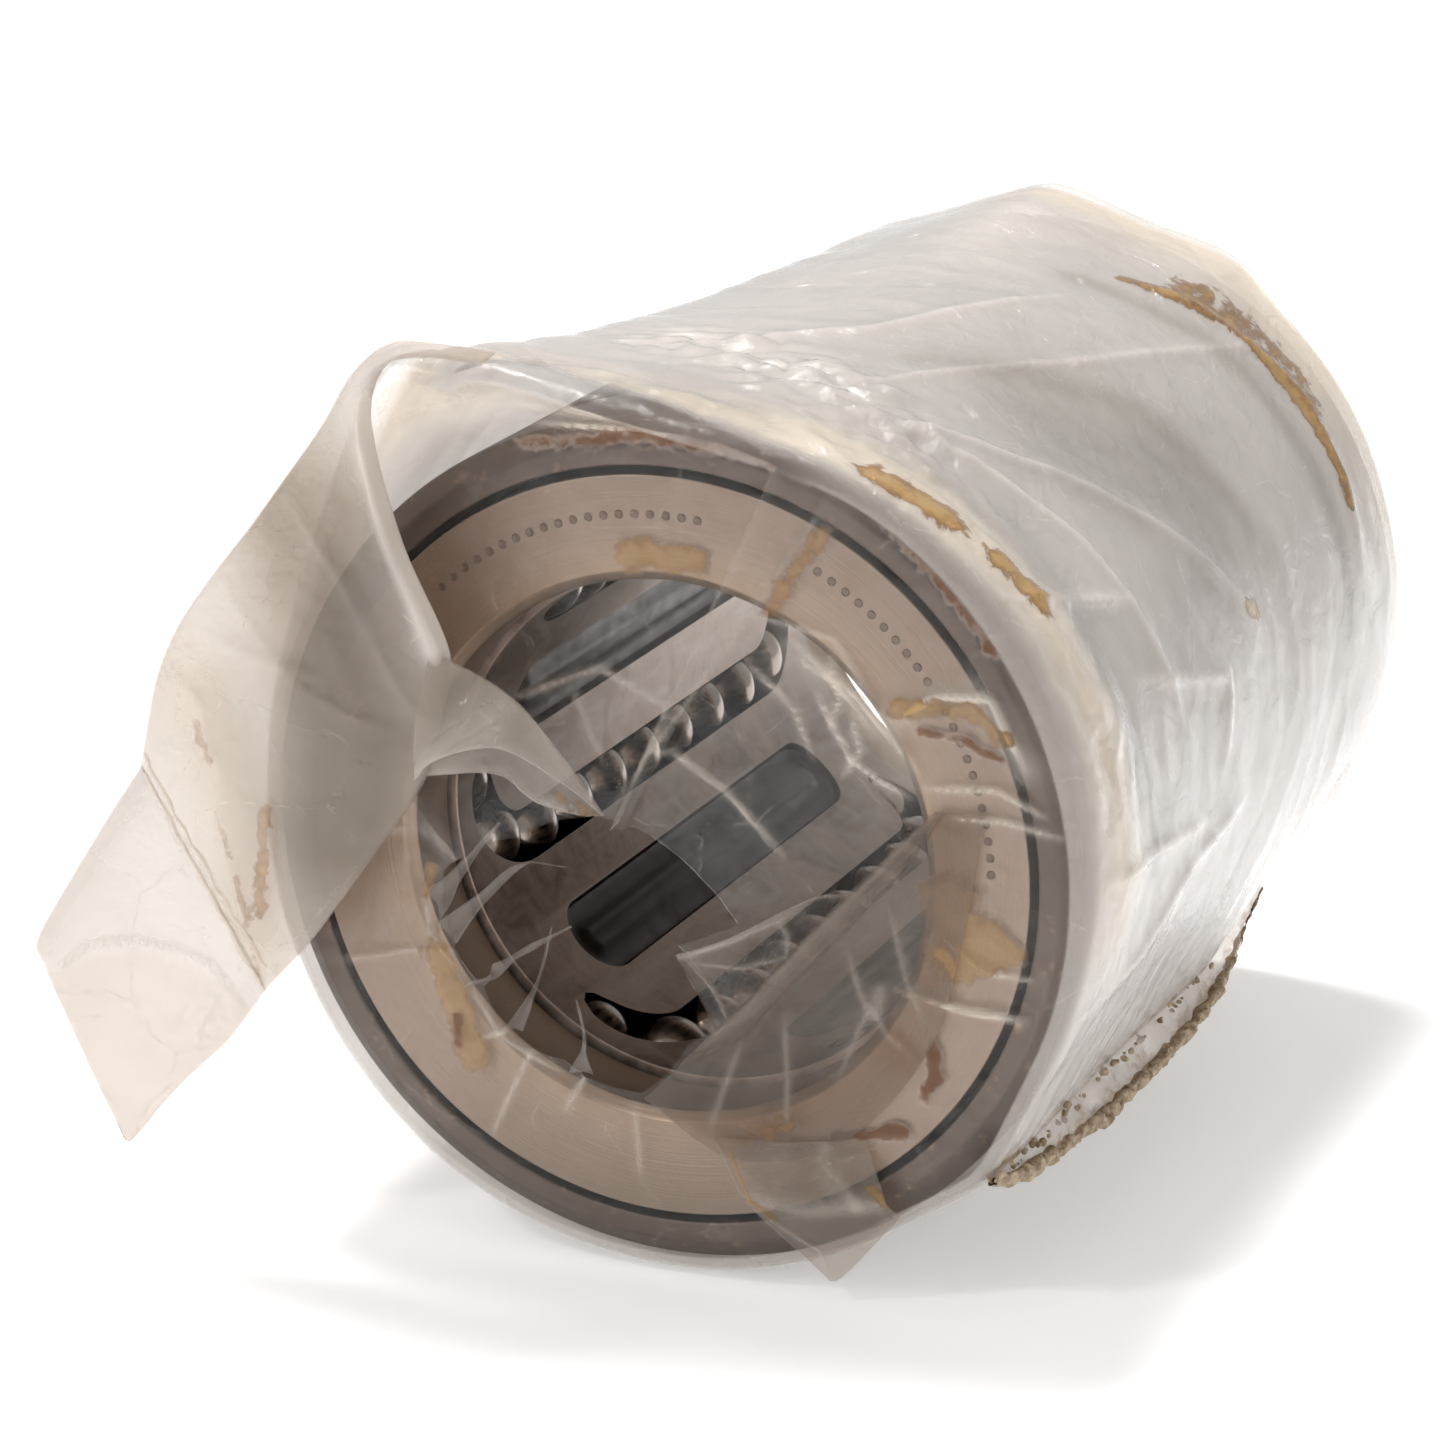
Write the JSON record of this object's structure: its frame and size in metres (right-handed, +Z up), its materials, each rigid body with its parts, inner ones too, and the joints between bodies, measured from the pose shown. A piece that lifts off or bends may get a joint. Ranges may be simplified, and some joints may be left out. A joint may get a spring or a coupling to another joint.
{
  "type": "linear ball bushing bearing",
  "caption": "Closed linear ball bushing, a plain steel sleeve with recirculating ball tracks, still wrapped in clear aged packing film with a folded tail.",
  "frame": {"origin": "on the bore's axis, half way between the bushing's two ends, which is the centre of its mass", "axes": "+Y runs along the bore from the front end to the rear end, +Z is up, +X to the right; the bushing lies on its side"},
  "size_m": [0.0402, 0.0453, 0.0346],
  "materials": {
    "sleeve_steel": "hardened steel, centreless ground, dulled by old preserving oil",
    "ring_steel": "fine-turned steel, satin, warm grey with brown oil stains",
    "retainer_steel": "dark oiled steel with brighter lands between the tracks",
    "ball_steel": "polished bearing balls",
    "film": "clear packing film, glossy, milky where it is creased, stained amber by oil",
    "seam_residue": "trimmed film seam caked with dry yellow-brown residue"
  },
  "bodies": {
    "wrapped_bushing": {"outer_sleeve": "sleeve_steel", "front_end_ring": "ring_steel", "rear_end_ring": "ring_steel", "ball_retainer": "retainer_steel", "film_sleeve": "film", "film_front_cover": "film", "film_rear_cover": "film", "film_bore_veil": "film", "film_tail": "film", "tail_heat_seal": "film", "tail_end": "film", "film_fin_seam": "seam_residue", "film_loose_corner": "film"},
    "load_balls_1": {"load_balls_1": "ball_steel"},
    "return_balls_1": {"return_balls_1": "ball_steel"},
    "rear_turn_balls_1": {"rear_turn_balls_1": "ball_steel"},
    "front_turn_balls_1": {"front_turn_balls_1": "ball_steel"},
    "load_balls_2": {"load_balls_2": "ball_steel"},
    "return_balls_2": {"return_balls_2": "ball_steel"},
    "rear_turn_balls_2": {"rear_turn_balls_2": "ball_steel"},
    "front_turn_balls_2": {"front_turn_balls_2": "ball_steel"},
    "load_balls_3": {"load_balls_3": "ball_steel"},
    "return_balls_3": {"return_balls_3": "ball_steel"},
    "rear_turn_balls_3": {"rear_turn_balls_3": "ball_steel"},
    "front_turn_balls_3": {"front_turn_balls_3": "ball_steel"},
    "load_balls_4": {"load_balls_4": "ball_steel"},
    "return_balls_4": {"return_balls_4": "ball_steel"},
    "rear_turn_balls_4": {"rear_turn_balls_4": "ball_steel"},
    "front_turn_balls_4": {"front_turn_balls_4": "ball_steel"},
    "load_balls_5": {"load_balls_5": "ball_steel"},
    "return_balls_5": {"return_balls_5": "ball_steel"},
    "rear_turn_balls_5": {"rear_turn_balls_5": "ball_steel"},
    "front_turn_balls_5": {"front_turn_balls_5": "ball_steel"},
    "load_balls_6": {"load_balls_6": "ball_steel"},
    "return_balls_6": {"return_balls_6": "ball_steel"},
    "rear_turn_balls_6": {"rear_turn_balls_6": "ball_steel"},
    "front_turn_balls_6": {"front_turn_balls_6": "ball_steel"}
  },
  "joints": [
    {"name": "load_row_slide_1", "type": "slide", "parent": "wrapped_bushing", "child": "load_balls_1", "axis": [0, 1, 0], "range_m": [-0.0017, 0.0017]},
    {"name": "return_row_slide_1", "type": "slide", "parent": "wrapped_bushing", "child": "return_balls_1", "axis": [0, 1, 0], "range_m": [-0.0017, 0.0017]},
    {"name": "rear_turn_roll_1", "type": "hinge", "parent": "wrapped_bushing", "child": "rear_turn_balls_1", "pos_m": [-0.0054, 0.01191, -0.00987], "axis": [-0.3075, 0, -0.9515], "range_deg": [-30, 30]},
    {"name": "front_turn_roll_1", "type": "hinge", "parent": "wrapped_bushing", "child": "front_turn_balls_1", "pos_m": [-0.0054, -0.01191, -0.00987], "axis": [-0.3075, 0, -0.9515], "range_deg": [-30, 30]},
    {"name": "load_row_slide_2", "type": "slide", "parent": "wrapped_bushing", "child": "load_balls_2", "axis": [0, 1, 0], "range_m": [-0.0017, 0.0017]},
    {"name": "return_row_slide_2", "type": "slide", "parent": "wrapped_bushing", "child": "return_balls_2", "axis": [0, 1, 0], "range_m": [-0.0017, 0.0017]},
    {"name": "rear_turn_roll_2", "type": "hinge", "parent": "wrapped_bushing", "child": "rear_turn_balls_2", "pos_m": [-0.01125, 0.01191, -0.00026], "axis": [-0.9778, 0, -0.2094], "range_deg": [-30, 30]},
    {"name": "front_turn_roll_2", "type": "hinge", "parent": "wrapped_bushing", "child": "front_turn_balls_2", "pos_m": [-0.01125, -0.01191, -0.00026], "axis": [-0.9778, 0, -0.2094], "range_deg": [-30, 30]},
    {"name": "load_row_slide_3", "type": "slide", "parent": "wrapped_bushing", "child": "load_balls_3", "axis": [0, 1, 0], "range_m": [-0.0017, 0.0017]},
    {"name": "return_row_slide_3", "type": "slide", "parent": "wrapped_bushing", "child": "return_balls_3", "axis": [0, 1, 0], "range_m": [-0.0017, 0.0017]},
    {"name": "rear_turn_roll_3", "type": "hinge", "parent": "wrapped_bushing", "child": "rear_turn_balls_3", "pos_m": [-0.00585, 0.01191, 0.00961], "axis": [-0.6703, 0, 0.7421], "range_deg": [-30, 30]},
    {"name": "front_turn_roll_3", "type": "hinge", "parent": "wrapped_bushing", "child": "front_turn_balls_3", "pos_m": [-0.00585, -0.01191, 0.00961], "axis": [-0.6703, 0, 0.7421], "range_deg": [-30, 30]},
    {"name": "load_row_slide_4", "type": "slide", "parent": "wrapped_bushing", "child": "load_balls_4", "axis": [0, 1, 0], "range_m": [-0.0017, 0.0017]},
    {"name": "return_row_slide_4", "type": "slide", "parent": "wrapped_bushing", "child": "return_balls_4", "axis": [0, 1, 0], "range_m": [-0.0017, 0.0017]},
    {"name": "rear_turn_roll_4", "type": "hinge", "parent": "wrapped_bushing", "child": "rear_turn_balls_4", "pos_m": [0.0054, 0.01191, 0.00987], "axis": [0.3075, 0, 0.9515], "range_deg": [-30, 30]},
    {"name": "front_turn_roll_4", "type": "hinge", "parent": "wrapped_bushing", "child": "front_turn_balls_4", "pos_m": [0.0054, -0.01191, 0.00987], "axis": [0.3075, 0, 0.9515], "range_deg": [-30, 30]},
    {"name": "load_row_slide_5", "type": "slide", "parent": "wrapped_bushing", "child": "load_balls_5", "axis": [0, 1, 0], "range_m": [-0.0017, 0.0017]},
    {"name": "return_row_slide_5", "type": "slide", "parent": "wrapped_bushing", "child": "return_balls_5", "axis": [0, 1, 0], "range_m": [-0.0017, 0.0017]},
    {"name": "rear_turn_roll_5", "type": "hinge", "parent": "wrapped_bushing", "child": "rear_turn_balls_5", "pos_m": [0.01125, 0.01191, 0.00026], "axis": [0.9778, 0, 0.2094], "range_deg": [-30, 30]},
    {"name": "front_turn_roll_5", "type": "hinge", "parent": "wrapped_bushing", "child": "front_turn_balls_5", "pos_m": [0.01125, -0.01191, 0.00026], "axis": [0.9778, 0, 0.2094], "range_deg": [-30, 30]},
    {"name": "load_row_slide_6", "type": "slide", "parent": "wrapped_bushing", "child": "load_balls_6", "axis": [0, 1, 0], "range_m": [-0.0017, 0.0017]},
    {"name": "return_row_slide_6", "type": "slide", "parent": "wrapped_bushing", "child": "return_balls_6", "axis": [0, 1, 0], "range_m": [-0.0017, 0.0017]},
    {"name": "rear_turn_roll_6", "type": "hinge", "parent": "wrapped_bushing", "child": "rear_turn_balls_6", "pos_m": [0.00585, 0.01191, -0.00961], "axis": [0.6703, 0, -0.7421], "range_deg": [-30, 30]},
    {"name": "front_turn_roll_6", "type": "hinge", "parent": "wrapped_bushing", "child": "front_turn_balls_6", "pos_m": [0.00585, -0.01191, -0.00961], "axis": [0.6703, 0, -0.7421], "range_deg": [-30, 30]}
  ],
  "couplings": [
    {"joint": "return_row_slide_1", "follows": "load_row_slide_1", "ratio": -1},
    {"joint": "rear_turn_roll_1", "follows": "load_row_slide_1", "rad_per_m": -307.69},
    {"joint": "front_turn_roll_1", "follows": "load_row_slide_1", "rad_per_m": -307.69},
    {"joint": "return_row_slide_2", "follows": "load_row_slide_2", "ratio": -1},
    {"joint": "rear_turn_roll_2", "follows": "load_row_slide_2", "rad_per_m": -307.69},
    {"joint": "front_turn_roll_2", "follows": "load_row_slide_2", "rad_per_m": -307.69},
    {"joint": "return_row_slide_3", "follows": "load_row_slide_3", "ratio": -1},
    {"joint": "rear_turn_roll_3", "follows": "load_row_slide_3", "rad_per_m": -307.69},
    {"joint": "front_turn_roll_3", "follows": "load_row_slide_3", "rad_per_m": -307.69},
    {"joint": "return_row_slide_4", "follows": "load_row_slide_4", "ratio": -1},
    {"joint": "rear_turn_roll_4", "follows": "load_row_slide_4", "rad_per_m": -307.69},
    {"joint": "front_turn_roll_4", "follows": "load_row_slide_4", "rad_per_m": -307.69},
    {"joint": "return_row_slide_5", "follows": "load_row_slide_5", "ratio": -1},
    {"joint": "rear_turn_roll_5", "follows": "load_row_slide_5", "rad_per_m": -307.69},
    {"joint": "front_turn_roll_5", "follows": "load_row_slide_5", "rad_per_m": -307.69},
    {"joint": "return_row_slide_6", "follows": "load_row_slide_6", "ratio": -1},
    {"joint": "rear_turn_roll_6", "follows": "load_row_slide_6", "rad_per_m": -307.69},
    {"joint": "front_turn_roll_6", "follows": "load_row_slide_6", "rad_per_m": -307.69}
  ]
}
